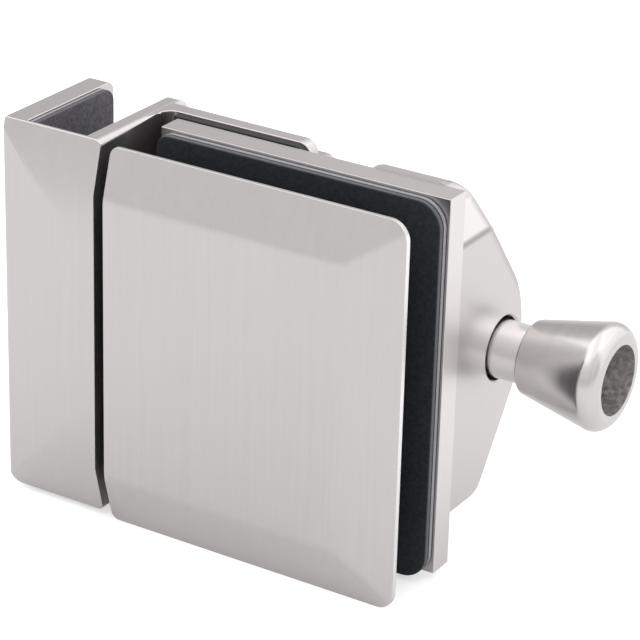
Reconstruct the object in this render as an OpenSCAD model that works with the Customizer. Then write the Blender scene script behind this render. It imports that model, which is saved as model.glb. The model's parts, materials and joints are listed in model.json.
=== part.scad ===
// Self-locking glass gate latch, 90 degree pattern: a strike that clamps the fixed pane, and a
// spring bolt latch that clamps the gate pane. The gate pane stands in the XZ plane at Y = 0 and
// the fixed pane runs back along +Y. The origin is midway between the two gate clamp studs, at
// the middle of the gate pane. X points from the strike to the knob, Z is up.

/* [Glass and gaskets] */
// Thickness of both glass panes
glass_t = 10; // [8:0.5:12]
// Thickness of one of the two gasket sheets on the back plate
gasket_t = 1.5; // [1:0.1:2.5]
// Thickness of one of the two gasket sheets on the outer wall of the strike
outer_gasket_t = 1.1; // [0.8:0.1:2]
// Thickness of one of the two gasket sheets on the inner wall of the strike
inner_gasket_t = 1.9; // [1:0.1:2.5]
// Thickness of one of the two gasket sheets behind the front cover
cover_gasket_t = 1.2; // [1:0.1:2.5]
// Inset of the gaskets from the edges of the back plate
gasket_inset = 0.6; // [0.3:0.1:3]
// Inset of the outer wall's gaskets from the top and bottom of the strike
outer_gasket_inset = 0.3; // [0.3:0.1:3]
// Inset of the inner wall's gaskets from the top and bottom of the strike
inner_gasket_inset = 2.8; // [1:0.1:5]
// How far the back plate's gaskets hang below it
gasket_hang = 1; // [0:0.1:2]
// Inset of the gaskets from the edges of the front cover
cover_gasket_inset = 2; // [1:0.5:5]
// Corner radius of the gate pane gaskets on the knob side
gasket_r = 6; // [2:0.5:9]
// Corner radius of the gate pane gaskets on the strike side
gasket_inner_r = 3.5; // [1:0.5:9]
// How far the fixed pane gaskets stop short of the back of the strike's walls
strike_gasket_short = 2.9; // [0.6:0.1:5]
// Radius of the back corners of the fixed pane gaskets
strike_gasket_r = 3.4; // [1:0.2:6]

/* [Front cover] */
// Width of the front cover
cover_w = 74.5; // [68:0.5:88]
// Height of the cover's top edge above the middle between its studs
cover_top = 44.4; // [40:0.2:54]
// Depth of the cover's bottom edge below the middle between its studs
cover_bottom = 46.4; // [40:0.2:54]
// Thickness of the front cover at its middle
cover_t = 4.2; // [3.4:0.1:6]
// Thickness left at the top and bottom edges of the bevelled front plates
edge_t = 0.9; // [0.6:0.1:2]
// Thickness left at the bevelled side edges of the front plates
side_edge_t = 1.5; // [0.8:0.1:2.5]
// Height of the top and bottom bevels
bevel_h = 11.9; // [6:0.1:16]
// Width of the bevel on the knob side of the cover
cover_bevel_w = 13.8; // [6:0.1:20]
// Corner radius of the cover on the knob side
cover_corner_r = 4.5; // [2:0.5:8]
// Corner radius of the cover on the strike side
cover_inner_corner_r = 2; // [0.5:0.5:4]

/* [Clamp studs] */
// Distance from the cover's strike side edge to the line of the clamp studs
stud_from_edge = 31.7; // [24:0.5:38]
// Height between the two clamp studs, on the gate pane and on the fixed pane
stud_spacing = 50; // [44:1:60]
// Diameter of the studs and shoulder screws that cross the panes in bushed holes
stud_d = 9; // [8:0.5:10]
// Diameter of the holes in the gaskets, the same as the holes in the glass
gasket_hole_d = 16; // [14:0.5:18]

/* [Back plate] */
// Thickness of the back plate
plate_t = 6.4; // [5:0.2:9]
// How far the back plate stops short of the cover on the strike side
plate_short_left = 1.7; // [0:0.1:4]
// Width of the back plate
plate_w = 73.3; // [70:0.1:88]
// Height of the back plate
plate_h = 88.6; // [82:0.2:108]

/* [Strike] */
// Height of the strike
strike_h = 90.2; // [84:0.2:110]
// Thickness of the strike's outer wall
outer_wall_t = 5.8; // [5:0.2:8]
// Thickness of the strike's inner wall, next to the gate
inner_wall_t = 4.4; // [4:0.2:6]
// Thickness of the strike's front web at its middle
web_t = 4; // [3:0.1:6]
// Depth of the strike from its front face to the back of its walls
strike_d = 36; // [34:0.2:45]
// Width of the bevel on the outer side of the strike
strike_bevel_w = 9.5; // [5:0.5:14]
// Corner radius of the strike's walls at their back edges
wall_corner_r = 2.4; // [1:0.2:4]
// Radius of the strike's upper outer corner, seen from the front
strike_upper_r = 0.5; // [0.5:0.5:4]
// Radius of the strike's lower outer corner, seen from the front
strike_lower_r = 3; // [0.5:0.5:4]
// Radius of the strike's corners next to the cover, seen from the front
strike_inner_r = 1.6; // [0.4:0.2:2]
// Gap between the strike and the front cover when the gate is shut
front_gap = 2.5; // [1.5:0.1:5]
// Distance from the strike's front face to the fixed pane's clamp holes
strike_stud_y = 20; // [16:0.5:23]
// Diameter of the shoulder screws where they pass the strike's inner wall
shoulder_guide_d = 10; // [10:0.1:11]
// Head diameter of the shoulder screws
shoulder_head_d = 14; // [12:0.5:15]

/* [Flange and keeper] */
// Gap between the back plate and the strike's flange
flange_gap = 2.1; // [1:0.1:2.3]
// Thickness of the flange
flange_t = 3.4; // [2.4:0.1:3.6]
// Reach of the flange from the strike's inner wall
flange_reach = 37.7; // [35:0.1:39]
// Corner radius of the flange
flange_corner_r = 3; // [2:0.5:9]
// Radius of the fillet between the flange and the strike's inner wall
flange_fillet_r = 3; // [1:0.5:3.5]
// How far the flange stops short of the top and bottom of the strike
flange_drop = 0.1; // [0.1:0.1:4]
// Width of the keeper plate behind the flange
keeper_w = 23.6; // [18:0.2:30]
// Thickness of the keeper plate
keeper_t = 7.6; // [5:0.1:7.8]
// Height of the keeper plate
keeper_h = 78.4; // [66:0.2:86]
// How far the keeper plate stands past the end of the flange
keeper_proud = 0.6; // [0.4:0.1:1.5]
// Corner radius of the keeper plate
keeper_corner_r = 3; // [1:0.5:7]
// Chamfer that leads the bolt over the keeper's edge
keeper_lead = 0.5; // [0.2:0.1:1]
// Height between two of the three keeper screws
keeper_screw_spacing = 26; // [18:1:30]
// Gap between the rubber buffer and the back plate when the gate is shut
buffer_gap = 0.3; // [0.1:0.1:1]
// Inset of the buffer from the edges of the flange
buffer_inset = 0.5; // [0.3:0.1:2]

/* [Housing] */
// Width of the latch housing, from the strike side to the knob side
housing_w = 27; // [25:0.2:29]
// Inset of the housing from the knob side edge of the back plate
housing_inset = 0.1; // [0:0.1:1]
// Depth of the housing behind the back plate at its crest
housing_d = 29.8; // [29.4:0.1:34]
// Distance from the gate's mid height up to the top of the housing
housing_top = 44.6; // [42:0.2:46]
// Distance from the gate's mid height down to the bottom of the housing
housing_bottom = 32.5; // [31:0.5:36]
// Radius of the crest on its upper side
crest_upper_r = 24; // [16:0.5:26]
// Height of that radius's centre above the bolt's axis
crest_upper_z = 2.5; // [1:0.5:4]
// Radius of the crest on its lower side
crest_lower_r = 22.8; // [16:0.2:24]
// How far that radius's centre lies below the bolt's axis
crest_lower_z = 0.5; // [0:0.5:2]
// Radius where the back slope meets the top of the housing
brow_r = 4; // [1:0.5:6]
// Distance from the back plate to the centre of the brow
brow_y = 1.6; // [0.5:0.1:4]
// Radius where the back slope meets the bottom of the housing
chin_r = 6; // [2:0.5:8]
// Distance from the back plate to the centre of the chin
chin_y = 9.3; // [7:0.1:12]
// Corner radius at the top of the housing, seen from behind
housing_corner_r = 5.5; // [2:0.5:8]
// Height at which the sides of the housing start to lean in
side_lean_z = 31.6; // [28:0.2:34]
// How far each side leans in at the top
side_lean = 1; // [0.2:0.1:2]

/* [Bolt and knob] */
// Distance from the back plate to the axis of the bolt
bolt_axis_y = 20.8; // [20.4:0.1:21.2]
// Diameter of the bolt
bolt_d = 14.6; // [14:0.1:14.8]
// How far the knob pulls the bolt back
travel = 8; // [5:0.5:8]
// How far the bolt reaches behind the keeper
bolt_throw = 7.4; // [5:0.2:7.4]
// Radial running clearance of the bolt and of the spindle
run_gap = 0.05; // [0.03:0.01:0.1]
// Length of the bolt that stays in the housing at rest
bolt_seat = 3.4; // [3:0.1:5]
// Width left flat at the tip of the bolt
nose_flat = 3.8; // [2.5:0.1:5]
// Diameter of the spring pocket in the back of the bolt
pocket_d = 10.8; // [10.2:0.1:11]
// Depth of the spring pocket
pocket_l = 11; // [9:0.5:11]
// Diameter of the spindle
spindle_d = 6; // [5:0.1:6.4]
// Length of spindle held in the bolt
spindle_in_bolt = 5.2; // [4:0.1:5.6]
// Length of spindle held in the knob
spindle_in_knob = 5; // [4:0.1:5.4]
// Depth of the bolt's keyway
keyway_depth = 1.1; // [0.8:0.1:1.3]
// Gap between the guide pin and the floor and sides of the keyway
keyway_gap = 0.3; // [0.1:0.05:0.4]
// Gap between a moving shoulder and the stop that it meets
stop_gap = 0.3; // [0.2:0.1:0.5]
// Diameter of the neck sleeve
neck_d = 13.4; // [12:0.1:14]
// Length of neck that shows between the housing and the knob
neck_show = 7; // [6:0.1:14]
// Length of the neck sleeve inside the housing at rest
neck_in = 6.3; // [5:0.1:8]
// Length of the knob
knob_l = 21.4; // [17:0.1:30]
// Diameter of the knob where it meets the neck
knob_small_d = 17.4; // [16:0.1:19]
// Diameter of the knob at its outer end
knob_big_d = 24.6; // [23:0.1:30]
// Rounding of the knob's outer end
knob_round = 3.4; // [1:0.1:3.8]
// Rounding of the knob's inner end
knob_small_round = 1.4; // [0.5:0.1:1.5]
// Diameter of the hollow in the knob
hollow_d = 16; // [10:0.5:16]
// Depth of the hollow, down to where its drilled floor starts
hollow_l = 8.5; // [5:0.5:9]

/* [Spring] */
// Diameter of the spring wire
wire_d = 1.1; // [0.8:0.1:1.2]
// Outer diameter of the spring
spring_d = 9.9; // [9.4:0.1:10]
// Number of turns of the spring
spring_turns = 7; // [5:1:8]

/* [Fasteners] */
// Shank diameter of the clamp screws
clamp_screw_d = 6; // [5:0.5:6]
// Head diameter of the clamp screws
clamp_head_d = 11.2; // [9:0.2:12]
// Shank diameter of the housing screws
housing_screw_d = 5; // [4:0.5:5.5]
// Length of the housing screws
housing_screw_l = 14; // [12:1:16]
// Height between the upper and lower housing screws
housing_screw_spacing = 48; // [42:1:52]
// Distance of the housing screws from the sides of the housing
housing_screw_in = 6; // [5:0.5:8]
// Shank diameter of the keeper screws
keeper_screw_d = 4; // [3:0.5:4.5]
// Diameter of the bush's grub screw
grub_d = 4; // [3:0.5:5]
// Length of the bush's grub screw
grub_l = 8; // [5:0.5:10]
// Diameter of the pin that keeps the bolt from turning
guide_pin_d = 3; // [2:0.5:3]
// Diameter of the roll pin that ties the spindle to the bolt
roll_pin_d = 2; // [1.5:0.5:2.5]
// Distance from the floor of the bolt's spring pocket to the roll pin
roll_pin_in = 2.4; // [2:0.1:3]
// Radial gap of screws and pins in the holes that hold them
hole_gap = 0.05; // [0.02:0.01:0.2]

/* [Hidden] */
$fn = 96;

// Planes across the gate pane, from front to back
cover_back = -glass_t / 2 - 2 * cover_gasket_t;
cover_front = cover_back - cover_t;
plate_front = glass_t / 2 + 2 * gasket_t;
plate_back = plate_front + plate_t;
flange_front = plate_back + flange_gap;
flange_back = flange_front + flange_t;
keeper_back = flange_back + keeper_t;
bolt_y = plate_back + bolt_axis_y;

// Planes across the gate, from the strike to the knob
cover_left = -stud_from_edge;
cover_right = cover_left + cover_w;
plate_left = cover_left + plate_short_left;
plate_right = plate_left + plate_w;
strike_right = cover_left - front_gap;
channel_w = glass_t + 2 * outer_gasket_t + 2 * inner_gasket_t;
channel_right = strike_right - inner_wall_t;
channel_left = channel_right - channel_w;
strike_left = channel_left - outer_wall_t;
flange_end = strike_right + flange_reach;
flange_h = strike_h - 2 * flange_drop;
keeper_right = flange_end + keeper_proud;
keeper_left = keeper_right - keeper_w;
housing_right = plate_right - housing_inset;
housing_left = housing_right - housing_w;

// Strike planes along the fixed pane
strike_back = cover_front + strike_d;
web_back = cover_front + web_t;
strike_screw_y = cover_front + strike_stud_y;

// Bolt train along X
bolt_tip = keeper_right - bolt_throw;
bolt_rear = housing_left + bolt_seat;
bush_left = bolt_rear + travel + stop_gap;
neck_left = housing_right - neck_in;
bush_right = neck_left - stop_gap;
neck_right = housing_right + neck_show;
knob_end = neck_right + knob_l;
pocket_floor = bolt_rear - pocket_l;
bore_r = bolt_d / 2 + run_gap;
spindle_bore_r = spindle_d / 2 + run_gap;
spindle_left = pocket_floor - spindle_in_bolt;
spindle_right = neck_right + spindle_in_knob;
// Height of the cone that a drill leaves, as a share of the drill's radius
drill_slope = 0.6;

// Countersunk heads: a 90 degree cone under a short rim
head_rim = 0.3;
// Metal left behind a blind hole, and room past the end of the screw in it
blind_floor = 1.5;
screw_end_room = 0.5;
// Small heads are this much less than twice the shank, and sockets this share of it
head_trim = 0.4;
socket_share = 0.72;
housing_head_d = 2 * housing_screw_d - head_trim;
keeper_head_d = 2 * keeper_screw_d - head_trim;
// The clamp screws stop short of the middle of the pane, where the studs are solid
clamp_thread = plate_front - blind_floor;
// How far the roll pin stays below the surface of the bolt at each end
roll_pin_inset = 0.8;
stud_z = [-stud_spacing / 2, stud_spacing / 2];

// How far a cut runs past the face that it opens
past = 1;
// Degrees in a full turn
full_turn = 360;

// Outward normal angle of the tangent from circle a to circle b, each [x, y, r], anticlockwise
function belt_angle(a, b) =
  atan2(b[1] - a[1], b[0] - a[0]) - acos((a[2] - b[2]) / norm([b[0] - a[0], b[1] - a[1]]));
// Straight runs of a belt end this far inside their circles, so that line and arc cross cleanly
tuck = 0.002;
function on_circle(c, angle) =
  let (r = max(c[2] - tuck, 0)) [c[0] + r * cos(angle), c[1] + r * sin(angle)];

// Convex outline stretched like a belt round circles [x, y, r], given anticlockwise
module belt(circles) {
  n = len(circles);
  polygon([for (k = [0:n - 1])
    let (a = circles[k], b = circles[(k + 1) % n], angle = belt_angle(a, b))
    each [on_circle(a, angle), on_circle(b, angle)]]);
  for (c = circles) if (c[2] > 0) translate([c[0], c[1]]) circle(r = c[2]);
}

// Rectangle from [x0, y0] to [x1, y1], with corner radii in the order lower left, lower right,
// upper right, upper left
module rounded_rect(x0, y0, x1, y1, r) {
  difference() {
    translate([x0, y0]) square([x1 - x0, y1 - y0]);
    corner_waste(x0, y0, r[0], 0);
    corner_waste(x1, y0, r[1], 90);
    corner_waste(x1, y1, r[2], 180);
    corner_waste(x0, y1, r[3], 270);
  }
}

// What a corner of radius r loses, for a corner at [x, y] turned by angle
module corner_waste(x, y, r, angle) {
  if (r > 0) translate([x, y]) rotate(angle) difference() {
    translate([-past, -past]) square(r + past);
    translate([r, r]) circle(r = r);
  }
}

// Stands a drawing of X and Z upright, from y0 to y1
module slab_y(y0, y1) translate([0, y1, 0]) rotate([90, 0, 0]) linear_extrude(y1 - y0) children();

// Stands a drawing of Y and Z upright, from x0 to x1
module slab_x(x0, x1) translate([x0, 0, 0]) rotate([90, 0, 90]) linear_extrude(x1 - x0) children();

module rod_x(x0, x1, r) translate([x0, 0, 0]) rotate([0, 90, 0]) cylinder(h = x1 - x0, r = r);

module rod_y(y0, y1, r) translate([0, y0, 0]) rotate([-90, 0, 0]) cylinder(h = y1 - y0, r = r);

// Everything on the axis of the bolt
module on_bolt_axis() translate([0, bolt_y, 0]) children();

// Countersunk screw or its hole, head at Z = 0, shank down to -l
module csk_screw(d, head_d, l, gap = 0) {
  cone = (head_d - d) / 2;
  rotate_extrude() polygon([
    [0, gap], [head_d / 2 + gap, gap], [head_d / 2 + gap, -head_rim], [d / 2 + gap, -head_rim - cone],
    [d / 2 + gap, -l], [0, -l]
  ]);
}

// Hexagon socket for a screw of shank diameter d, its mouth at Z = 0
module hex_socket(d) translate([0, 0, -d / 2]) cylinder(h = d, d = d * socket_share, $fn = 6);

// Countersunk screw with a hexagon socket
module socket_csk(d, head_d, l) {
  difference() {
    csk_screw(d, head_d, l);
    hex_socket(d);
  }
}

// Bevelled front plate of the strike or the cover, from z0 to z1, as a drawing of Y and Z
module bevel_profile(back, z0, z1) {
  polygon([
    [back, z0], [back, z1], [back - edge_t, z1], [cover_front, z1 - bevel_h],
    [cover_front, z0 + bevel_h], [back - edge_t, z0]
  ]);
}

// Gate pane gasket between two planes y, with holes round the studs
module gate_gasket(y0, y1, x0, z0, x1, z1) {
  slab_y(y0, y1) difference() {
    rounded_rect(x0, z0, x1, z1, [gasket_inner_r, gasket_r, gasket_r, gasket_inner_r]);
    for (z = stud_z) translate([0, z]) circle(d = gasket_hole_d);
  }
}

// Gasket sheet behind the front cover, the first one or the second one
module cover_gasket(n) gate_gasket(cover_back + (n - 1) * cover_gasket_t, cover_back + n * cover_gasket_t,
  cover_left + cover_gasket_inset, cover_gasket_inset - cover_bottom,
  cover_right - cover_gasket_inset, cover_top - cover_gasket_inset);

// Gasket sheet on the back plate, the first one or the second one
module plate_gasket(n) gate_gasket(plate_front - n * gasket_t, plate_front - (n - 1) * gasket_t,
  plate_left + gasket_inset, -plate_h / 2 - gasket_hang,
  plate_right - gasket_inset, plate_h / 2 - gasket_inset);

// Fixed pane gasket from x to x + t, its front edge near the web
module strike_gasket(x, t, inset) {
  half = strike_h / 2 - inset;
  slab_x(x, x + t) difference() {
    rounded_rect(web_back + gasket_inset, -half, strike_back - strike_gasket_short, half,
      [0, strike_gasket_r, strike_gasket_r, 0]);
    for (z = stud_z) translate([strike_screw_y, z]) circle(d = gasket_hole_d);
  }
}

module strike_body() color("silver") difference() {
  half = strike_h / 2;
  union() {
    // U shaped channel: bevelled web, two walls with rounded back corners
    intersection() {
      difference() {
        slab_x(strike_left, strike_right)
          rounded_rect(cover_front, -half, strike_back, half, [0, wall_corner_r, wall_corner_r, 0]);
        translate([channel_left, web_back, -strike_h]) cube([channel_w, strike_d, 2 * strike_h]);
      }
      union() {
        slab_x(strike_left, strike_right) bevel_profile(web_back, -half, half);
        translate([strike_left, web_back - edge_t / 2, -half])
          cube([strike_right - strike_left, strike_d, strike_h]);
      }
      linear_extrude(2 * strike_h, center = true) polygon([
        [strike_left, strike_back], [strike_left, web_back - side_edge_t],
        [strike_left + strike_bevel_w, cover_front], [strike_right, cover_front],
        [strike_right, strike_back]
      ]);
      slab_y(cover_front, strike_back)
        rounded_rect(strike_left, -half, strike_right, half,
          [strike_lower_r, strike_inner_r, strike_inner_r, strike_upper_r]);
    }
    // Flange that stops the gate and carries the keeper
    slab_y(flange_front, flange_back)
      rounded_rect(strike_right - inner_wall_t / 2, -flange_h / 2, flange_end, flange_h / 2,
        [0, flange_corner_r, flange_corner_r, 0]);
    flange_fillet();
  }
  for (z = stud_z) {
    // Room for the screw heads in the fillet
    translate([strike_right, strike_screw_y, z])
      rod_x(0, flange_fillet_r + past, shoulder_head_d / 2 + hole_gap);
    // Countersunk holes through the inner wall and blind threads in the outer wall
    translate([strike_right, strike_screw_y, z]) rotate([0, 90, 0])
      csk_screw(shoulder_guide_d, shoulder_head_d, inner_wall_t + past, hole_gap);
    translate([strike_left + blind_floor, strike_screw_y, z])
      rod_x(0, outer_wall_t, clamp_screw_d / 2 + hole_gap);
  }
  keeper_screw_places() csk_screw(keeper_screw_d, keeper_head_d, flange_t + past, hole_gap);
}

// Rounds the corner between the inner wall and the front of the flange
module flange_fillet() linear_extrude(flange_h, center = true) difference() {
  translate([strike_right - inner_wall_t / 2, flange_front - flange_fillet_r])
    square([inner_wall_t / 2 + flange_fillet_r, flange_fillet_r + flange_t / 2]);
  translate([strike_right + flange_fillet_r - tuck, flange_front - flange_fillet_r + tuck])
    circle(r = flange_fillet_r);
}

module strike_outer_liner() color("dimgray")
  strike_gasket(channel_left, outer_gasket_t, outer_gasket_inset);

module strike_outer_pad() color([0.16, 0.16, 0.17])
  strike_gasket(channel_left + outer_gasket_t, outer_gasket_t, outer_gasket_inset);

module strike_inner_pad() color([0.16, 0.16, 0.17])
  strike_gasket(channel_right - 2 * inner_gasket_t, inner_gasket_t, inner_gasket_inset);

module strike_inner_liner() color("dimgray")
  strike_gasket(channel_right - inner_gasket_t, inner_gasket_t, inner_gasket_inset);

// Shoulder screws: head and guide in the inner wall, shoulder across the pane, thread in the
// outer wall
module strike_shoulder_screws() color("gainsboro") for (z = stud_z)
  translate([strike_right, strike_screw_y, z]) rotate([0, 90, 0]) difference() {
    union() {
      csk_screw(shoulder_guide_d, shoulder_head_d, inner_wall_t);
      translate([0, 0, channel_left - strike_right])
        cylinder(h = channel_w + head_rim, d = stud_d);
      translate([0, 0, strike_left + blind_floor + screw_end_room - strike_right])
        cylinder(h = outer_wall_t, d = clamp_screw_d);
    }
    hex_socket(stud_d);
  }

// Places of the keeper screws: heads in the flange's front face, shanks towards +Y
module keeper_screw_places() for (k = [-1:1])
  translate([keeper_left + keeper_w / 2, flange_front, k * keeper_screw_spacing])
    rotate([90, 0, 0]) children();

module keeper_plate() color("lightgray") difference() {
  intersection() {
    slab_y(flange_back, keeper_back)
      rounded_rect(keeper_left, -keeper_h / 2, keeper_right, keeper_h / 2,
        [keeper_corner_r, keeper_corner_r, keeper_corner_r, keeper_corner_r]);
    // The edge that meets the bolt first is chamfered
    linear_extrude(2 * keeper_h, center = true) polygon([
      [keeper_left - past, flange_back], [keeper_right - keeper_lead, flange_back],
      [keeper_right, flange_back + keeper_lead], [keeper_right, keeper_back],
      [keeper_left - past, keeper_back]
    ]);
  }
  keeper_screw_places() cylinder(h = 2 * (flange_t + keeper_t - blind_floor),
    r = keeper_screw_d / 2 + hole_gap, center = true);
}

module keeper_screws() color("gainsboro") keeper_screw_places()
  socket_csk(keeper_screw_d, keeper_head_d, flange_t + keeper_t - blind_floor - screw_end_room);

module strike_buffer() color([0.12, 0.12, 0.13])
  slab_y(plate_back + buffer_gap, flange_front)
    rounded_rect(strike_right + flange_fillet_r, buffer_inset - flange_h / 2,
      flange_end - buffer_inset, flange_h / 2 - buffer_inset,
      [0, flange_corner_r - buffer_inset, flange_corner_r - buffer_inset, 0]);

module front_cover() color("silver") intersection() {
  slab_x(cover_left, cover_right) bevel_profile(cover_back, -cover_bottom, cover_top);
  linear_extrude(3 * cover_top, center = true) polygon([
    [cover_left, cover_front], [cover_right - cover_bevel_w, cover_front],
    [cover_right, cover_back - side_edge_t], [cover_right, cover_back], [cover_left, cover_back]
  ]);
  slab_y(cover_front, cover_back)
    rounded_rect(cover_left, -cover_bottom, cover_right, cover_top,
      [cover_inner_corner_r, cover_corner_r, cover_corner_r, cover_inner_corner_r]);
}

// Threaded studs on the back of the cover, which the clamp screws enter from behind
module cover_studs() color("gainsboro") for (z = stud_z) translate([0, 0, z]) difference() {
  rod_y(cover_back, plate_front, stud_d / 2);
  rod_y(plate_front - clamp_thread - screw_end_room, plate_front + past, clamp_screw_d / 2 + hole_gap);
}

module cover_liner() color("dimgray") cover_gasket(1);

module cover_pad() color([0.16, 0.16, 0.17]) cover_gasket(2);

module plate_liner() color("dimgray") plate_gasket(1);

module plate_pad() color([0.16, 0.16, 0.17]) plate_gasket(2);

// Places of the housing screws: heads in the back plate's front face, shanks towards +Y
module housing_screw_places() {
  for (x = [housing_left + housing_screw_in, housing_right - housing_screw_in],
       z = [-housing_screw_spacing / 2, housing_screw_spacing / 2])
    translate([x, plate_front, z]) rotate([90, 0, 0]) children();
}

// Places of the clamp screws: heads in the back plate's back face, shanks towards -Y
module clamp_screw_places() for (z = stud_z) translate([0, plate_back, z]) rotate([-90, 0, 0]) children();

module back_plate() color("silver") difference() {
  translate([plate_left, plate_front, -plate_h / 2]) cube([plate_w, plate_t, plate_h]);
  clamp_screw_places() csk_screw(clamp_screw_d, clamp_head_d, plate_t + past, hole_gap);
  housing_screw_places() csk_screw(housing_screw_d, housing_head_d, plate_t + past, hole_gap);
}

module clamp_screws() color("gainsboro") clamp_screw_places()
  socket_csk(clamp_screw_d, clamp_head_d, plate_t + clamp_thread);

// Side view of the housing: crest round the bolt, long back slope up to a brow, short one to a chin
module hump_profile() {
  crest_y = plate_back + housing_d;
  belt([
    [plate_back, -housing_bottom, 0],
    [plate_back + chin_y, chin_r - housing_bottom, chin_r],
    [crest_y - crest_lower_r, -crest_lower_z, crest_lower_r],
    [crest_y - crest_upper_r, crest_upper_z, crest_upper_r],
    [plate_back + brow_y, housing_top - brow_r, brow_r],
    [plate_back, housing_top, 0]
  ]);
}

// Back view of the housing: sides that lean in above side_lean_z and rounded top corners
module housing_outline() {
  belt([
    [housing_left, -housing_bottom, 0],
    [housing_right, -housing_bottom, 0],
    [housing_right, side_lean_z, 0],
    [housing_right - side_lean - housing_corner_r, housing_top - housing_corner_r, housing_corner_r],
    [housing_left + side_lean + housing_corner_r, housing_top - housing_corner_r, housing_corner_r],
    [housing_left, side_lean_z, 0]
  ]);
}

module latch_housing() color("silver") difference() {
  intersection() {
    slab_x(housing_left, housing_right) hump_profile();
    slab_y(plate_back, plate_back + housing_d + past) housing_outline();
  }
  on_bolt_axis() rod_x(housing_left - past, housing_right + past, bore_r);
  housing_screw_places() cylinder(h = 2 * (housing_screw_l + screw_end_room),
    r = housing_screw_d / 2 + hole_gap, center = true);
  grub_place() rod_y(plate_back - past, bolt_y, grub_d / 2 + hole_gap);
  guide_pin_place() rod_y(plate_back - past, bolt_y, guide_pin_d / 2 + hole_gap);
}

module housing_screws() color("gainsboro") housing_screw_places()
  socket_csk(housing_screw_d, housing_head_d, housing_screw_l);

module grub_place() translate([(bush_left + bush_right) / 2, 0, 0]) children();

// The guide pin stands at the back end of the bolt, so that the keyway needs no more than the travel
module guide_pin_place() translate([bolt_rear - guide_pin_d / 2, 0, 0]) children();

// Fixed bush that guides the spindle and takes the thrust of the spring
module stop_bush() color("goldenrod") on_bolt_axis() difference() {
  rod_x(bush_left, bush_right, bore_r - hole_gap);
  rod_x(bush_left - past, bush_right + past, spindle_bore_r);
}

module bush_screw() color("dimgray") grub_place() difference() {
  rod_y(bolt_y - bore_r - grub_l, bolt_y - bore_r, grub_d / 2);
  rod_y(bolt_y - bore_r - grub_l - past, bolt_y - bore_r - grub_l + grub_d / 2, grub_d / 4, $fn = 6);
}

module guide_pin() color("dimgray") guide_pin_place()
  rod_y(plate_back + hole_gap, bolt_y - bolt_d / 2 + keyway_depth - keyway_gap, guide_pin_d / 2);

module bolt() color("lightgray") difference() {
  on_bolt_axis() rod_x(bolt_tip, bolt_rear, bolt_d / 2);
  // Slanted nose: the back of the tip is cut off at 45 degrees, so that the bolt rides over the keeper
  translate([bolt_tip, bolt_y - bolt_d / 2 + nose_flat, 0]) rotate(45)
    translate([-bolt_d, 0, -bolt_d]) cube([4 * bolt_d, 2 * bolt_d, 2 * bolt_d]);
  on_bolt_axis() rod_x(pocket_floor, bolt_rear + past, pocket_d / 2);
  on_bolt_axis() rod_x(spindle_left - hole_gap, pocket_floor + past, spindle_d / 2 + hole_gap);
  roll_pin_place() cylinder(h = 2 * bolt_d, r = roll_pin_d / 2 + hole_gap, center = true);
  // Keyway for the guide pin, open at the back
  translate([bolt_rear - travel - guide_pin_d - keyway_gap, bolt_y - bolt_d, -guide_pin_d / 2 - keyway_gap])
    cube([travel + bolt_d, bolt_d / 2 + keyway_depth, guide_pin_d + 2 * keyway_gap]);
}

module roll_pin_place() translate([pocket_floor - roll_pin_in, bolt_y, 0]) children();

module spindle() color("gainsboro") difference() {
  on_bolt_axis() rod_x(spindle_left, spindle_right, spindle_d / 2);
  roll_pin_place() cylinder(h = 2 * bolt_d, r = roll_pin_d / 2 + hole_gap, center = true);
}

module roll_pin() color("dimgray") roll_pin_place() difference() {
  cylinder(h = bolt_d - 2 * roll_pin_inset, r = roll_pin_d / 2, center = true);
  cylinder(h = bolt_d, r = roll_pin_d / 4, center = true);
}

// Spring: one tube of rings with six sides, wound round the spindle
turn_rings = 8;
ring_angle = full_turn / turn_rings;
spring_rings = turn_rings * spring_turns;
spring_sides = 6;
spring_end_gap = 0.15;
spring_x0 = pocket_floor + wire_d / 2 + spring_end_gap;
spring_x1 = bush_left - wire_d / 2 - spring_end_gap;
coil_r = (spring_d - wire_d) / 2;
coil_pitch = (spring_x1 - spring_x0) / spring_turns;
coil_rise = atan2(coil_pitch, 2 * PI * coil_r);
function coil_centre(k) = let (turn = ring_angle * k)
  [spring_x0 + coil_pitch * k / turn_rings, bolt_y + coil_r * cos(turn), coil_r * sin(turn)];
function coil_ring(k) = let (
    turn = ring_angle * k, out = [0, cos(turn), sin(turn)],
    side = [cos(coil_rise), sin(coil_rise) * sin(turn), -sin(coil_rise) * cos(turn)])
  [for (j = [0:spring_sides - 1]) let (t = full_turn * j / spring_sides)
    coil_centre(k) + wire_d / 2 * (cos(t) * out + sin(t) * side)];
// Least gap between ring k and the rings from half a turn further on
function least_gap(k) = min([for (j = [k + turn_rings / 2 + 1:spring_rings])
  norm(coil_centre(k) - coil_centre(j))]) - wire_d;
echo(spring_self_gap = min([for (k = [0:spring_rings - turn_rings / 2 - 1]) least_gap(k)]));

module bolt_spring() color("slategray") {
  rings = [for (k = [0:spring_rings]) each coil_ring(k)];
  last = spring_rings * spring_sides;
  polyhedron(rings, concat(
    [for (k = [0:spring_rings - 1], j = [0:spring_sides - 1])
      let (a = k * spring_sides + j, b = k * spring_sides + (j + 1) % spring_sides)
      each [[a, a + spring_sides, b], [b, a + spring_sides, b + spring_sides]]],
    [for (j = [1:spring_sides - 2]) [0, j, j + 1]],
    [for (j = [1:spring_sides - 2]) [last, last + j + 1, last + j]]));
}

module neck_sleeve() color("gainsboro") on_bolt_axis() difference() {
  rod_x(neck_left, neck_right, neck_d / 2);
  rod_x(neck_left - past, neck_right + past, spindle_bore_r);
}

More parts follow.
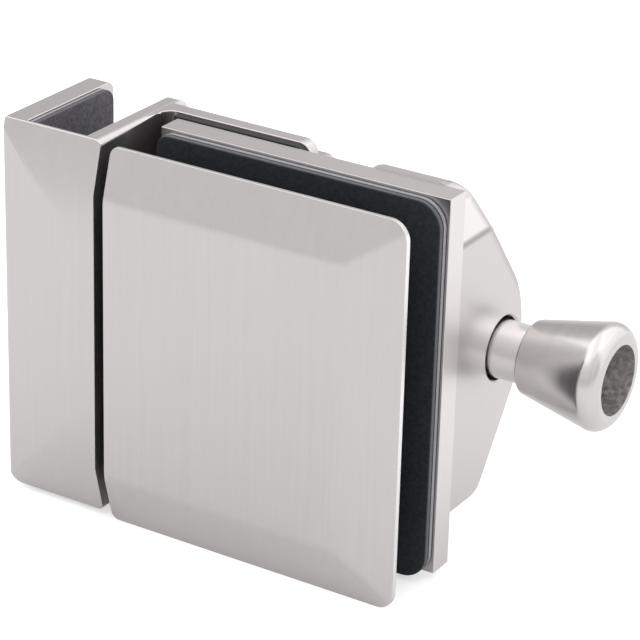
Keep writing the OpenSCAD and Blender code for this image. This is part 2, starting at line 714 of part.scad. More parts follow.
// Knob turned in one piece: rounded inner end, cone, rounded outer end, drilled hollow
module knob() color("silver") translate([neck_right, bolt_y, 0]) rotate([0, 90, 0]) {
  cone_top = knob_l - knob_round;
  rotate_extrude() difference() {
    intersection() {
      belt([
        [0, 0, 0],
        [knob_small_d / 2 - knob_small_round, knob_small_round, knob_small_round],
        [knob_big_d / 2 - knob_round, cone_top, knob_round],
        [0, knob_l, 0]
      ]);
      square([knob_big_d, knob_l]);
    }
    // Hollow with the conical floor that the drill leaves
    polygon([
      [0, knob_l + past], [hollow_d / 2, knob_l + past], [hollow_d / 2, knob_l - hollow_l],
      [0, knob_l - hollow_l - drill_slope * hollow_d / 2]
    ]);
    translate([0, -past])
      square([spindle_d / 2 + hole_gap, past + spindle_in_knob + screw_end_room]);
  }
}

strike_body();
strike_outer_liner();
strike_outer_pad();
strike_inner_liner();
strike_inner_pad();
strike_shoulder_screws();
keeper_plate();
keeper_screws();
strike_buffer();
front_cover();
cover_studs();
cover_liner();
cover_pad();
plate_pad();
plate_liner();
back_plate();
clamp_screws();
latch_housing();
housing_screws();
stop_bush();
bush_screw();
guide_pin();
bolt();
spindle();
roll_pin();
bolt_spring();
neck_sleeve();
knob();
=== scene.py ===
import bpy
import bmesh
import json
import math
from mathutils import Matrix, Vector
from mathutils.bvhtree import BVHTree

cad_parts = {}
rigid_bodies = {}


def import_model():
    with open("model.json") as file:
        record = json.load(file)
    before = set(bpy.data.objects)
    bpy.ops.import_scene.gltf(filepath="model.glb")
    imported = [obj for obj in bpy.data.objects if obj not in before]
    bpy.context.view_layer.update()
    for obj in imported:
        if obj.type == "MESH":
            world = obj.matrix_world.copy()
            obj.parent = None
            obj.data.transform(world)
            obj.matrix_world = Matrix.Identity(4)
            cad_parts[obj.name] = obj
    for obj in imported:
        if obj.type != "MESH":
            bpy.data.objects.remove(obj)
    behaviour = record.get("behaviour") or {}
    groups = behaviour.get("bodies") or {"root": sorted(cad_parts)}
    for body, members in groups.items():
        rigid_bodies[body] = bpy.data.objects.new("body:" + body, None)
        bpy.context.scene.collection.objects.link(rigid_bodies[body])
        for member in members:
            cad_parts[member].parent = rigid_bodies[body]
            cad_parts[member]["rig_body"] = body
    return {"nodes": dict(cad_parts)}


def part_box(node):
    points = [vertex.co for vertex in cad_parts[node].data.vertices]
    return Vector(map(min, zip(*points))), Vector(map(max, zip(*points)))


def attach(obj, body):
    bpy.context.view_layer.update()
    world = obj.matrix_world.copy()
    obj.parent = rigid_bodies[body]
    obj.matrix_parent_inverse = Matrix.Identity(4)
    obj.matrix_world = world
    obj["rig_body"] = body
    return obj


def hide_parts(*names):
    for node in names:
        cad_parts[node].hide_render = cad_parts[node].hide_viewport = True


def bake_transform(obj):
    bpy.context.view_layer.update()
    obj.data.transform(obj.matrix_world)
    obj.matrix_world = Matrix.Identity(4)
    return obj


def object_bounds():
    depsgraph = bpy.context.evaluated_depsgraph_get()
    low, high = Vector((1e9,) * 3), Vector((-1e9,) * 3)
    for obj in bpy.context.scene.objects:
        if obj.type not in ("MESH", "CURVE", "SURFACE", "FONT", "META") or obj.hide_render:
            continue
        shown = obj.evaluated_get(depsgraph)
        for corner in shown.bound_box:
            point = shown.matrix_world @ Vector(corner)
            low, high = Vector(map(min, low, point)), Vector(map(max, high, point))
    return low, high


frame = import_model()
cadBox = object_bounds()
nodes = frame["nodes"]
print("frame loaded:", len(nodes), "nodes")

# The camera stands at the photograph's angle
view = {
    "azimuth": 31.5,  # degrees, from the front towards the right
    "elevation": 24.4,
    "roll": 1.64,
    "distance": 0.61595,  # metres
    "target": (0.01693, 0.0004, 0.01286),
    "lens": 161.917,  # millimetres
    "sensor": 36,
    "clip": (0.01, 20),  # metres
}


def makeCamera(v):
    a, e, r = (math.radians(v[k]) for k in ("azimuth", "elevation", "roll"))
    back = Vector((math.sin(a) * math.cos(e), -math.cos(a) * math.cos(e), math.sin(e)))
    side = Vector((math.cos(a), math.sin(a), 0))
    up = back.cross(side)
    right = side * math.cos(r) + up * math.sin(r)
    top = up * math.cos(r) - side * math.sin(r)
    data = bpy.data.cameras.new("camera")
    data.lens, data.sensor_width = v["lens"], v["sensor"]
    data.clip_start, data.clip_end = v["clip"]
    cam = bpy.data.objects.new("camera", data)
    place = Matrix.Translation(Vector(v["target"]) + back * v["distance"])
    cam.matrix_world = place @ Matrix((right, top, back)).transposed().to_4x4()
    bpy.context.scene.collection.objects.link(cam)
    bpy.context.scene.camera = cam


makeCamera(view)
print("camera placed")


# Short forms for building node trees
def newMaterial(name):
    mat = bpy.data.materials.new(name)
    mat.use_nodes = True
    tree = mat.node_tree
    tree.nodes.clear()
    out = tree.nodes.new("ShaderNodeOutputMaterial")
    shader = tree.nodes.new("ShaderNodeBsdfPrincipled")
    tree.links.new(shader.outputs[0], out.inputs[0])
    return mat, tree, shader


def addNode(tree, kind, inputs=None, **props):
    node = tree.nodes.new(kind)
    for key, value in props.items():
        setattr(node, key, value)
    for key, value in (inputs or {}).items():
        if isinstance(value, bpy.types.NodeSocket):
            tree.links.new(value, node.inputs[key])
        else:
            node.inputs[key].default_value = value
    return node


def mathNode(tree, operation, a, b=0.0):
    return addNode(tree, "ShaderNodeMath", {0: a, 1: b}, operation=operation).outputs[0]


def ramp(tree, source, low, high, fromMin=0.3, fromMax=0.7, kind="LINEAR"):  # noise lies at 0.3 to 0.7
    return addNode(tree, "ShaderNodeMapRange", {
        "Value": source, "From Min": fromMin, "From Max": fromMax, "To Min": low, "To Max": high},
        interpolation_type=kind).outputs[0]


def blendNumbers(tree, factor, a, b):
    return addNode(tree, "ShaderNodeMix", {0: factor, 2: a, 3: b}).outputs[0]


def blendColors(tree, factor, a, b):  # the Mix node's sockets 6 and 7 hold its two colours
    colors = {k: c if isinstance(c, bpy.types.NodeSocket) else (*c, 1) for k, c in ((6, a), (7, b))}
    return addNode(tree, "ShaderNodeMix", {0: factor, **colors}, data_type="RGBA").outputs[2]


def shade(color, tone, most=0.95):  # nothing sends back more of the light than this
    return tuple(min(c * tone, most) for c in color)


def noise(tree, coords, scale, detail=3.0, roughness=0.6):
    if isinstance(scale, tuple):  # a different scale along each axis draws streaks
        coords = addNode(tree, "ShaderNodeMapping", {"Vector": coords, "Scale": scale}).outputs[0]
        scale = 1.0
    return addNode(tree, "ShaderNodeTexNoise", {
        "Vector": coords, "Scale": scale, "Detail": detail, "Roughness": roughness}).outputs[0]


def objectCoords(tree):
    return addNode(tree, "ShaderNodeTexCoord").outputs["Object"]


def splitXYZ(tree, vector):
    return addNode(tree, "ShaderNodeSeparateXYZ", {0: vector}).outputs


def faceNormal(tree):
    return splitXYZ(tree, addNode(tree, "ShaderNodeNewGeometry").outputs["True Normal"])


def alongVector(tree, a, b):
    return addNode(tree, "ShaderNodeVectorMath", {0: a, 1: b}, operation="DOT_PRODUCT").outputs["Value"]


def addBump(tree, shader, strength, distance, height):
    bump = addNode(tree, "ShaderNodeBump", {"Strength": strength, "Distance": distance, "Height": height})
    tree.links.new(bump.outputs[0], shader.inputs["Normal"])


def aroundAxis(tree, coords, centre):  # gives the place along X and the radius about the bolt's axis
    shifted = addNode(tree, "ShaderNodeVectorMath", {0: coords, 1: centre}, operation="SUBTRACT").outputs[0]
    x, y, z = splitXYZ(tree, shifted)
    square = mathNode(tree, "ADD", mathNode(tree, "MULTIPLY", y, y), mathNode(tree, "MULTIPLY", z, z))
    radius = mathNode(tree, "SQRT", square)
    return addNode(tree, "ShaderNodeCombineXYZ", {0: x, 1: radius}).outputs[0], radius


def setMaterial(names, mat):
    for name in names:
        mesh = nodes[name].data
        mesh.materials.clear()
        mesh.materials.append(mat)
        mesh.polygons.foreach_set("material_index", [0] * len(mesh.polygons))


# Satin steel: fine grain up and down, and along the run of the narrow top faces
satin = {
    "light": (0.655, 0.634, 0.632),
    "dark": (0.622, 0.601, 0.599),
    "rough": (0.27, 0.36),
    "upGrain": (2300, 2300, 45),
    "topGrain": (120, 2300, 2300),
    "coarser": 5,  # times the width of the fine grain
    "coarseShare": 0.4,
    "cloud": 22,  # slow patches left by the polishing wheel
    "cloudShare": 0.5,  # of the change in gloss
    "grainDepth": 0.025,
    "bumpHeight": 0.00008,  # metres
    "topFrom": 0.8,  # share of Z in the normal of a top or bottom face
    "sideFrom": (0.9, 0.97),  # share of +X in the normal of a side face
}

# The housing's side: a painted highlight on an upper facet that leans into the light, a painted shade line
# at its foot, and a painted shade band beside its sloping edge
housingSide = {
    "crease": 0.0316,  # height of the facet's foot
    "fade": 0.0013,  # metres, half the width of the painted shade line at its foot
    "facetHighlightTone": 1.38,
    "lineTone": 0.60,
    "bandShadeTone": 0.80,
    "band": (0.0004, 0.0026),  # metres from the slope behind the side
    "slopeFrom": 0.25,  # share of +Y and of +Z in the slope's normal
    "slopeArea": 0.00002,  # square metres
}
onePlane = 0.01  # radians, under which two faces lie in one plane


def slopesOf(name, v):  # the planes of the upper slopes behind the housing's side
    found = []
    mesh = nodes[name].data
    for face in mesh.polygons:
        n = face.normal
        large = min(n.y, n.z) > v["slopeFrom"] and face.area > v["slopeArea"]
        if large and all(n.angle(m) > onePlane for m, d in found):
            found.append((n.copy(), n.dot(mesh.vertices[face.vertices[0]].co)))
    return found


# painted light: lightens the upper facet as a painted highlight, and darkens its foot and the band beside
# the slope as painted shade
def paintLeanLight(tree, coords, facesSide, color, light, name, v):  # adds the facet, its line and the band
    height = splitXYZ(tree, coords)[2]
    upper = ramp(tree, height, 0, 1, v["crease"], v["crease"] + v["fade"])
    off = mathNode(tree, "ABSOLUTE", mathNode(tree, "SUBTRACT", height, v["crease"]))
    line = ramp(tree, off, 1, 0, 0, v["fade"], "SMOOTHSTEP")
    shades = [(upper, v["facetHighlightTone"]), (line, v["lineTone"])]
    for n, d in slopesOf(name, v):
        deep = mathNode(tree, "SUBTRACT", d, alongVector(tree, coords, n))
        shades.append((ramp(tree, deep, 1, 0, *v["band"], "SMOOTHSTEP"), v["bandShadeTone"]))
    for where, tone in shades:
        color = blendColors(tree, mathNode(tree, "MULTIPLY", facesSide, where), color, shade(light, tone))
    return color


def satinMaterial(name, v, plate):
    mat, tree, shader = newMaterial(plate["piece"] + "Steel")
    coords = objectCoords(tree)
    normal = faceNormal(tree)
    facesUp = mathNode(tree, "GREATER_THAN", mathNode(tree, "ABSOLUTE", normal[2]), v["topFrom"])
    facesSide = ramp(tree, normal[0], 0, 1, *v["sideFrom"])
    fine = blendNumbers(tree, facesUp, noise(tree, coords, v["upGrain"]), noise(tree, coords, v["topGrain"]))
    coarse = noise(tree, coords, tuple(g / v["coarser"] for g in v["upGrain"]), detail=2.0)
    cloud = noise(tree, coords, float(v["cloud"]), detail=2.0)
    grain = blendNumbers(tree, v["coarseShare"], fine, coarse)
    light, dark = (shade(v[k], plate.get("tone", 1.0)) for k in ("light", "dark"))
    color = blendColors(tree, ramp(tree, grain, 0, 1), dark, light)
    # painted light: faces that face +X, and faces that face up or down, are lightened for how the light
    # falls on them
    color = blendColors(tree, facesSide, color, shade(light, plate.get("sideLightTone", 1.0)))
    if "topLightTone" in plate:
        color = blendColors(tree, facesUp, color, shade(light, plate["topLightTone"]))
    # painted light on the housing's side: a painted highlight on its upper facet, painted shade at its foot
    # and beside its slope
    if "lean" in plate:
        color = paintLeanLight(tree, coords, facesSide, color, light, name, plate["lean"])
    tree.links.new(color, shader.inputs["Base Color"])
    gloss = blendNumbers(tree, v["cloudShare"], grain, cloud)
    tree.links.new(ramp(tree, gloss, *v["rough"]), shader.inputs["Roughness"])
    shader.inputs["Metallic"].default_value = 1.0
    addBump(tree, shader, v["grainDepth"], v["bumpHeight"], grain)
    return mat


# Turned steel: fine rings about the bolt's axis, and a rough drilled hollow in the knob
turned = {
    "light": (0.68, 0.66, 0.655),
    "dark": (0.63, 0.61, 0.605),
    "rough": (0.18, 0.27),
    "rings": (3600, 3600, 0),
    "coarser": 6,  # times the width of the fine rings
    "coarseShare": 0.5,
    "grainDepth": 0.05,
    "bumpHeight": 0.00006,  # metres
    "hollowRadius": 0.00803,
    "hollowLight": (0.75, 0.73, 0.725),
    "hollowDark": (0.30, 0.29, 0.285),
    "hollowScale": 900,
    "hollowRough": 0.55,
    "neckLightTone": 1.30,  # times the bolt's colour; painted light: the neck and knob are lighter copies of the bolt's steel
    "knobLightTone": 1.02,
}


def turnedMaterial(name, v, centre, tone=1.0, hollow=False):
    mat, tree, shader = newMaterial(name)
    coords = objectCoords(tree)
    rings, radius = aroundAxis(tree, coords, centre)
    fine = noise(tree, rings, v["rings"])
    coarse = noise(tree, rings, tuple(g / v["coarser"] for g in v["rings"]), detail=2.0)
    grain = blendNumbers(tree, v["coarseShare"], fine, coarse)
    color = blendColors(tree, ramp(tree, grain, 0, 1), shade(v["dark"], tone), shade(v["light"], tone))
    rough = ramp(tree, grain, *v["rough"])
    if hollow:
        inside = mathNode(tree, "LESS_THAN", radius, v["hollowRadius"])
        mottle = noise(tree, coords, float(v["hollowScale"]), detail=4.0)
        dull = blendColors(tree, ramp(tree, mottle, 0, 1), v["hollowDark"], v["hollowLight"])
        color = blendColors(tree, inside, color, dull)
        rough = blendNumbers(tree, inside, rough, v["hollowRough"])
    tree.links.new(color, shader.inputs["Base Color"])
    tree.links.new(rough, shader.inputs["Roughness"])
    shader.inputs["Metallic"].default_value = 1.0
    addBump(tree, shader, v["grainDepth"], v["bumpHeight"], grain)
    return mat


# Small metal parts: one recipe, with each metal's two tones and the axis (0 is X) that its marks run round
plainSteel = {"light": (0.60, 0.60, 0.60), "dark": (0.53, 0.53, 0.53), "rough": (0.22, 0.34), "scale": 1400}
smallParts = {
    "screwSteel": {**plainSteel, "axis": 1,
                   "nodes": ["keeper_screws", "cover_studs", "clamp_screws", "housing_screws"]},
    "shoulderSteel": {**plainSteel, "axis": 0, "nodes": ["strike_shoulder_screws"]},
    "blackSteel": {"light": (0.045, 0.045, 0.05), "dark": (0.022, 0.022, 0.024), "rough": (0.35, 0.5),
                   "scale": 1100, "metallic": 0.8, "axis": 2,
                   "nodes": ["bush_screw", "guide_pin", "roll_pin"]},
    "springSteel": {"light": (0.50, 0.51, 0.53), "dark": (0.38, 0.385, 0.40), "rough": (0.2, 0.32),
                    "scale": 2600, "axis": 0, "nodes": ["bolt_spring"]},
    "bushBrass": {"light": (0.80, 0.60, 0.28), "dark": (0.70, 0.51, 0.23), "rough": (0.2, 0.33),
                  "scale": 1800, "axis": 0, "nodes": ["stop_bush"]},
}
smallGrain = {
    "depth": 0.02,
    "bumpHeight": 0.00004,  # metres
    "stretch": 12,  # of the marks round the part, against their width
    "markShare": 0.75,  # and the rest is an even fleck
}


def smallPartMaterial(name, v, grain):
    mat, tree, shader = newMaterial(name)
    coords = objectCoords(tree)
    fleck = noise(tree, coords, float(v["scale"]))
    scales = tuple(v["scale"] if axis == v["axis"] else v["scale"] / grain["stretch"] for axis in range(3))
    both = blendNumbers(tree, grain["markShare"], fleck, noise(tree, coords, scales, detail=2.0))
    color = blendColors(tree, ramp(tree, both, 0, 1), v["dark"], v["light"])
    tree.links.new(color, shader.inputs["Base Color"])
    tree.links.new(ramp(tree, both, *v["rough"]), shader.inputs["Roughness"])
    shader.inputs["Metallic"].default_value = v.get("metallic", 1.0)
    addBump(tree, shader, grain["depth"], grain["bumpHeight"], both)
    return mat


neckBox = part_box("neck_sleeve")
boltCentre = (0, (neckBox[0].y + neckBox[1].y) / 2, (neckBox[0].z + neckBox[1].z) / 2)
setMaterial(["bolt", "spindle"], turnedMaterial("turnedSteel", turned, boltCentre))
# painted light: the neck and the knob take lighter copies of the bolt's turned steel
setMaterial(["neck_sleeve"], turnedMaterial("neckSteel", turned, boltCentre, turned["neckLightTone"]))
setMaterial(["knob"], turnedMaterial("knobSteel", turned, boltCentre, turned["knobLightTone"], hollow=True))
for partName, part in smallParts.items():
    setMaterial(part["nodes"], smallPartMaterial(partName, part, smallGrain))
print("turned and small metal parts done")


# Rubber sheets: matt black faces, with cut edges painted lighter, a painted highlight where the light
# catches them
rubber = {
    # The strike's face and fleck are a lighter copy of the gate's rubber, painted light for the light that
    # falls into the channel; the gate's faint blue tint is a painted reflection
    "face": {"strike": (0.066, 0.0635, 0.072), "gate": (0.021, 0.0235, 0.027)},
    "fleck": {"strike": (0.155, 0.150, 0.166), "gate": (0.039, 0.044, 0.050)},
    "scale": 1500,
    "roughness": 0.62,
    "specular": 0.25,
    "grainDepth": 0.35,
    "bumpHeight": 0.00006,  # metres
    "edgeFrom": 0.35,  # share of that axis in the normal, under which a face is a cut edge
    "edgeDark": 0.8,  # of a cut edge's darker tone
}
cutEdgeHighlights = {"pad": (0.13, 0.13, 0.14), "liner": (0.36, 0.36, 0.38), "buffer": (0.05, 0.05, 0.052)}


def rubberMaterial(name, v, edge, side):
    mat, tree, shader = newMaterial(name)
    facesAlong = 0 if side == "strike" else 1  # X on the strike, and Y on the gate
    facing = mathNode(tree, "ABSOLUTE", faceNormal(tree)[facesAlong])
    onEdge = mathNode(tree, "LESS_THAN", facing, v["edgeFrom"])
    speckle = noise(tree, objectCoords(tree), float(v["scale"]))
    factor = ramp(tree, speckle, 0, 1)
    # painted light: the strike's sheets take the lighter copy of the rubber
    face = blendColors(tree, factor, v["face"][side], v["fleck"][side])
    # painted highlight: the cut edges are lighter where the light catches them
    rimHighlight = blendColors(tree, factor, shade(edge, v["edgeDark"]), edge)
    tree.links.new(blendColors(tree, onEdge, face, rimHighlight), shader.inputs["Base Color"])
    shader.inputs["Roughness"].default_value = v["roughness"]
    shader.inputs["Specular IOR Level"].default_value = v["specular"]
    addBump(tree, shader, v["grainDepth"], v["bumpHeight"], speckle)
    return mat


setMaterial(["strike_buffer"], rubberMaterial("bufferRubber", rubber, cutEdgeHighlights["buffer"], "gate"))


# The rounded edge of the strike's inner wall, which runs out sharp into the flange's fillet
cornerFade = {
    "length": 0.006,  # metres
    "cuts": 6,
    "flangeFrom": -0.02,  # X past which only the flange lies
    "footSpan": (-0.0355, -0.0339),  # X between which the rounding meets the flange
    "footFrom": 0.005,  # Y, behind the strike's front
    "reach": 0.0045,  # of the cuts, from the corner
    "across": 0.00104,  # size of the rounding along X
    "down": 0.00151,  # and along Z
    "foot": 0.00015,  # reach of the short edges at its end
}

# The plates and sheets, each a copy of its CAD node with its outer edges broken and its face creases eased
# The side and top tones are painted light: they lighten the faces that face +X, or up and down, for how the
# light falls there
plates = {
    "strike_body": {"piece": "strikeShell", "edge": 0.0003, "crease": 0.0011, "topLightTone": 1.04,
                    "fade": cornerFade},
    "front_cover": {"piece": "coverShell", "edge": 0.00014, "crease": 0.0010, "sideLightTone": 1.5},
    "back_plate": {"piece": "rearPlate", "edge": 0.0002, "sideLightTone": 1.26, "topLightTone": 1.04},
    # painted light: the housing's lean is a painted highlight on its upper facet, with painted shade at its
    # foot and beside its slope
    "latch_housing": {"piece": "housingShell", "edge": 0.0010, "seam": True, "sideLightTone": 1.06,
                      "lean": housingSide},
    "keeper_plate": {"piece": "keeperBar", "edge": 0.0003, "tone": 0.97},
}
sheets = {
    "strike_outer_liner": "strikeOuterLiner", "strike_outer_pad": "strikeOuterPad",
    "strike_inner_liner": "strikeInnerLiner", "strike_inner_pad": "strikeInnerPad",
    "cover_liner": "coverLiner", "cover_pad": "coverPad",
    "plate_liner": "plateLiner", "plate_pad": "platePad",
}
sheetEdge = 0.0004  # metres
plateRules = {
    "weld": 0.000002,  # metres
    "close": 0.00001,  # metres, within which a point counts as on a face
    "cutSnap": 1e-7,  # metres, within which a cut keeps to a corner that is there
    "flat": 0.2,  # degrees, under which faces are one
    "sharp": 30,  # degrees, from which an edge is broken
    "holeSpan": 0.012,  # metres, across which facing walls belong to a hole
    "segments": 3,
    "faceLean": 0.85,  # share of -Y in the normal of a face crease's two sides
    "frontDepth": 0.0036,  # metres from a front's foremost point, within which its creases lie
    "creaseCuts": 4,  # on each side of a crease
    "bigFace": 0.00002,  # square metres
    "smooth": 24,  # degrees, under which faces shade as one
}


def weldedCopy(name, weld):
    bm = bmesh.new()
    bm.from_mesh(nodes[name].data)
    bmesh.ops.remove_doubles(bm, verts=bm.verts, dist=weld)
    return bm


def makePiece(bm, name, smooth, material):
    mesh = bpy.data.meshes.new(name)
    bm.to_mesh(mesh)
    bm.free()
    if "custom_normal" in mesh.attributes:
        mesh.attributes.remove(mesh.attributes["custom_normal"])
    mesh.shade_smooth()
    mesh.set_sharp_from_angle(angle=math.radians(smooth))
    mesh.materials.append(material)
    piece = bpy.data.objects.new(name, mesh)
    bpy.context.scene.collection.objects.link(piece)
    print(name, len(mesh.vertices), "vertices")
    return piece


def breakEdges(bm, rules, width, staysSharp):
    tree = BVHTree.FromBMesh(bm)

    def inHole(face):
        start = face.calc_center_median() + face.normal * rules["close"]
        return tree.ray_cast(start, face.normal, rules["holeSpan"])[0] is not None

    limit = math.radians(rules["sharp"])
    edges = [e for e in bm.edges if e.calc_face_angle(0) > limit and not staysSharp(e)
             and not any(inHole(f) for f in e.link_faces)]
    bmesh.ops.bevel(bm, geom=edges, offset=width, offset_type="OFFSET", segments=rules["segments"],
                    profile=0.5, affect="EDGES", material=-1, clamp_overlap=False)


def frontPlanes(bm, rules):  # the flat and the slopes of a bevelled front, and the pairs that meet
    planes, owner = [], {}
    for face in bm.faces:
        if face.normal.y < -rules["faceLean"] and face.calc_area() > rules["bigFace"]:
            same = [k for k, (n, d) in enumerate(planes) if n.angle(face.normal) < onePlane]
            if not same:
                planes.append((face.normal.copy(), face.normal.dot(face.verts[0].co)))
            owner[face.index] = same[0] if same else len(planes) - 1
    pairs = set()
    for edge in bm.edges:
        ends = {owner.get(f.index) for f in edge.link_faces} - {None}
        if len(ends) == 2:
            pairs.add(tuple(sorted(ends)))
    return planes, sorted(pairs)


def easeCreases(bm, rules, width, backLimit):
    bm.faces.index_update()
    planes, pairs = frontPlanes(bm, rules)
    depth = [lambda x, z, n=n, d=d: (d - n.x * x - n.z * z) / n.y for n, d in planes]
    slopes = []
    for a, b in pairs:  # cut lines beside each crease
        na, nb = planes[a][0], planes[b][0]
        grad = Vector((nb.x / nb.y - na.x / na.y, 0, nb.z / nb.y - na.z / na.y))
        slopes.append(grad.length)
        gap = depth[a](0, 0) - depth[b](0, 0)
        line = -grad * gap / grad.length_squared
        for k in range(-rules["creaseCuts"], rules["creaseCuts"] + 1):
            at = line + grad.normalized() * width * k / rules["creaseCuts"]
            bmesh.ops.bisect_plane(bm, geom=bm.verts[:] + bm.edges[:] + bm.faces[:], dist=rules["cutSnap"],
                                   plane_co=at, plane_no=grad.normalized())
    reach = max(slopes) * width
    for vert in bm.verts:
        if vert.co.y > backLimit:
            continue
        hard = soft = depth[0](vert.co.x, vert.co.z)
        for f in depth[1:]:  # hard follows the planes as they meet, and soft rounds where they do
            other = f(vert.co.x, vert.co.z)
            near = max(reach - abs(soft - other), 0) / reach
            soft, hard = max(soft, other) + near * near * reach / 4, max(hard, other)
        vert.co.y += soft - hard


def fadeCorner(bm, v, rules):
    weld = rules["weld"]
    flange = max(p.co.z for p in bm.verts if p.co.x > v["flangeFrom"])
    foot = [p.co for p in bm.verts if abs(p.co.z - flange) < weld and p.co.y > v["footFrom"]
            and v["footSpan"][0] < p.co.x < v["footSpan"][1]]
    start = min(c.y for c in foot)
    corner = max(c.x for c in foot if c.y < start + weld)
    for side in (-1, 1):  # the short edges at its end become one point
        ends = [p for p in bm.verts if max(abs(p.co.x - corner), abs(p.co.y - start)) < v["foot"]
                and flange - v["down"] < p.co.z * side < flange + weld]
        bmesh.ops.pointmerge(bm, verts=ends, merge_co=(corner, start, side * flange))
    for k in range(1, v["cuts"] + 1):
        near = [f for f in bm.faces if f.calc_center_median().x > corner - v["reach"]]
        geom = near + list({e for f in near for e in f.edges}) + list({p for f in near for p in f.verts})
        bmesh.ops.bisect_plane(bm, geom=geom, dist=rules["cutSnap"], plane_no=(0, 1, 0),
                               plane_co=(0, start - v["length"] * k / v["cuts"], 0))
    for vert in bm.verts:  # the rounding closes in on the sharp corner along the run-out
        x, y, z = vert.co
        inside = x > corner - v["across"] and flange - v["down"] < abs(z) < flange + weld
        if inside and start - v["length"] < y < start + weld:
            share = (y - start + v["length"]) / v["length"]
            share = share * share * (3 - 2 * share)
            vert.co = (x + (corner - x) * share, y, z + (math.copysign(flange, z) - z) * share)
    bmesh.ops.remove_doubles(bm, verts=bm.verts, dist=weld)


def dressPlate(name, v, rules, material):
    bm = weldedCopy(name, rules["weld"])
    bmesh.ops.dissolve_limit(bm, angle_limit=math.radians(rules["flat"]), verts=bm.verts, edges=bm.edges)
    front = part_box(name)[0].y
    if "fade" in v:
        fadeCorner(bm, v["fade"], rules)

    def onSeam(edge):  # the housing's edges on the back plate stay sharp
        return v.get("seam", False) and all(abs(p.co.y - front) < rules["close"] for p in edge.verts)

    breakEdges(bm, rules, v["edge"], onSeam)
    if "crease" in v:
        easeCreases(bm, rules, v["crease"], front + rules["frontDepth"])
    piece = makePiece(bm, v["piece"], rules["smooth"], material)
    piece.modifiers.new("flatFaces", "WEIGHTED_NORMAL").keep_sharp = True
    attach(piece, nodes[name]["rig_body"])
    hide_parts(name)


for plateName, plate in plates.items():
    dressPlate(plateName, plate, plateRules, satinMaterial(plateName, satin, plate))
sheetRubber = {(side, kind): rubberMaterial(side + kind.title() + "Rubber", rubber, cutEdgeHighlights[kind], side)
               for side in ("strike", "gate") for kind in ("liner", "pad")}
for sheetName, piece in sheets.items():
    side = "strike" if sheetName.startswith("strike") else "gate"
    kind = sheetName.split("_")[-1]
    dressPlate(sheetName, {"piece": piece, "edge": sheetEdge}, plateRules, sheetRubber[side, kind])
print("plates and sheets done")


# The spring: a welded, smooth-shaded copy of its CAD node, in its place
spring = {
    "piece": "springCoil",
    "weld": 0.000002,  # metres
    "smooth": 40,  # degrees
    "ends": 0.0006,  # metres, of its flat ends, which keep their shape
}


def makeSpring(name, v):
    bm = weldedCopy(name, v["weld"])
    piece = makePiece(bm, v["piece"], v["smooth"], nodes[name].data.materials[0])
    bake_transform(piece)
    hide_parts(name)


makeSpring("bolt_spring", spring)
print("spring done")


# A white table under the part, and a bright room, a little darker at its horizon
studio = {
    "tableRadius": 0.75,  # metres
    "tableSides": 128,
    "tableColor": (0.75, 0.75, 0.75),
    "tableRoughness": 0.9,
    "seenLift": 0.55,  # for the camera, so that the table reads white
    "mirroredLift": (0.03, 0.09),  # in mirrors, close to the part and further off; lower close to the part as painted shade round it
    "mirroredFrom": (0.03, 0.15),  # metres
    "roomColor": (1.0, 0.985, 0.985),
    "lowStrength": 0.86,  # of the room's light under the horizon
    "wallStrength": (0.74, 1.0),  # just over the horizon, and high up
    "wallHeights": (0.08, 0.72),  # as the height of the direction
    "lineStrength": 0.95,  # share of the room's light at the horizon
    "lineLow": (-0.17, -0.10),
    "lineHigh": (0.0, 0.06),
    "flagToward": (-0.69, 0.53, 0.48),  # a soft grey panel that the top faces and the knob mirror
    "flagSpread": (0.86, 0.97),  # as the cosine from its middle
    "flagStrength": 0.62,
}
lamps = {
    "topSoftbox": {"place": (-0.1, -0.15, 1.1), "size": (1.6, 1.6), "power": 3.0},
    "leftSoftbox": {"place": (-0.58, -0.34, 0.74), "size": (1.2, 1.2), "power": 1.4},
    "rightSoftbox": {"place": (0.6, 0.55, 0.55), "size": (1.5, 1.5), "power": 3.4},
}


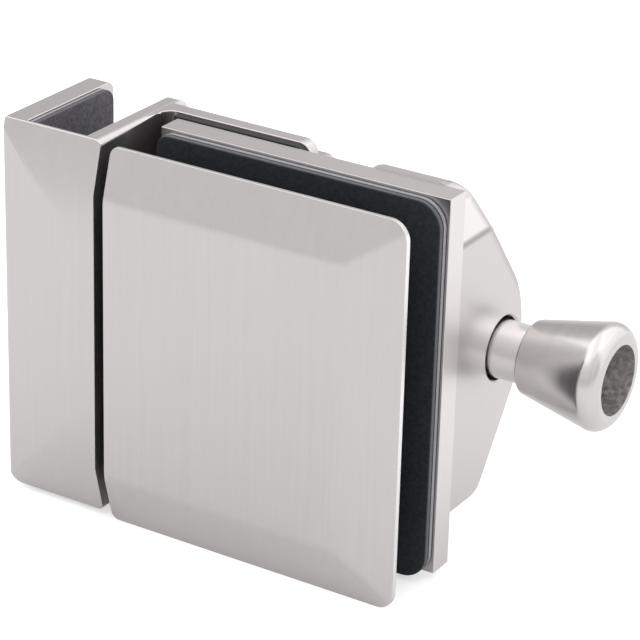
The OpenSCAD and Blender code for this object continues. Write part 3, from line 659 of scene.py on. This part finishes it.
def makeTable(v, z):
    bm = bmesh.new()
    bmesh.ops.create_circle(bm, cap_ends=True, segments=v["tableSides"], radius=v["tableRadius"])
    bmesh.ops.translate(bm, verts=bm.verts, vec=(0, 0, z))
    mesh = bpy.data.meshes.new("table")
    bm.to_mesh(mesh)
    bm.free()
    table = bpy.data.objects.new("table", mesh)
    bpy.context.scene.collection.objects.link(table)
    mat, tree, shader = newMaterial("tablePaint")
    shader.inputs["Base Color"].default_value = (*v["tableColor"], 1)
    shader.inputs["Roughness"].default_value = v["tableRoughness"]
    shader.inputs["Emission Color"].default_value = (1, 1, 1, 1)
    rays = addNode(tree, "ShaderNodeLightPath").outputs
    mirrored = mathNode(tree, "MAXIMUM", rays["Is Glossy Ray"], rays["Is Transmission Ray"])
    coords = objectCoords(tree)
    away = addNode(tree, "ShaderNodeVectorMath", {0: coords}, operation="LENGTH").outputs["Value"]
    seen = mathNode(tree, "MULTIPLY", rays["Is Camera Ray"], v["seenLift"])
    # painted shade: in reflections the table glows less close to the part
    glow = mathNode(tree, "MULTIPLY", mirrored, ramp(tree, away, *v["mirroredLift"], *v["mirroredFrom"]))
    tree.links.new(mathNode(tree, "ADD", seen, glow), shader.inputs["Emission Strength"])
    mesh.materials.append(mat)


def makeRoom(v):
    world = bpy.data.worlds.new("studio")
    bpy.context.scene.world = world
    world.use_nodes = True
    tree = world.node_tree
    tree.nodes.clear()
    out = tree.nodes.new("ShaderNodeOutputWorld")
    rays = addNode(tree, "ShaderNodeLightPath").outputs
    direction = addNode(tree, "ShaderNodeTexCoord").outputs["Generated"]
    height = splitXYZ(tree, direction)[2]
    below = ramp(tree, height, 1, 0, *v["lineLow"], "SMOOTHSTEP")
    above = ramp(tree, height, 0, 1, *v["lineHigh"], "SMOOTHSTEP")
    bright = ramp(tree, mathNode(tree, "MAXIMUM", below, above), v["lineStrength"], 1.0, 0, 1)
    wall = ramp(tree, height, *v["wallStrength"], *v["wallHeights"])
    level = blendNumbers(tree, mathNode(tree, "GREATER_THAN", height, 0.0), v["lowStrength"], wall)
    toward = alongVector(tree, direction, v["flagToward"])
    flag = ramp(tree, toward, 1.0, v["flagStrength"], *v["flagSpread"], "SMOOTHSTEP")
    strength = mathNode(tree, "MULTIPLY", mathNode(tree, "MULTIPLY", bright, level), flag)
    room = addNode(tree, "ShaderNodeBackground", {"Color": (*v["roomColor"], 1), "Strength": strength})
    white = addNode(tree, "ShaderNodeBackground", {"Color": (1, 1, 1, 1), "Strength": 1.0})
    mix = addNode(tree, "ShaderNodeMixShader", {
        0: rays["Is Camera Ray"], 1: room.outputs[0], 2: white.outputs[0]})
    tree.links.new(mix.outputs[0], out.inputs[0])


def makeLamp(name, v):
    data = bpy.data.lights.new(name, "AREA")
    data.shape, data.size, data.size_y = "RECTANGLE", *v["size"]
    data.energy = v["power"]
    lamp = bpy.data.objects.new(name, data)
    lamp.location = v["place"]
    lamp.rotation_euler = (-Vector(v["place"])).to_track_quat("-Z", "Y").to_euler()
    bpy.context.scene.collection.objects.link(lamp)


makeTable(studio, cadBox[0][2])
makeRoom(studio)
for lampName, lamp in lamps.items():
    makeLamp(lampName, lamp)
print("studio done")

bpy.context.scene.view_settings.view_transform = "Standard"
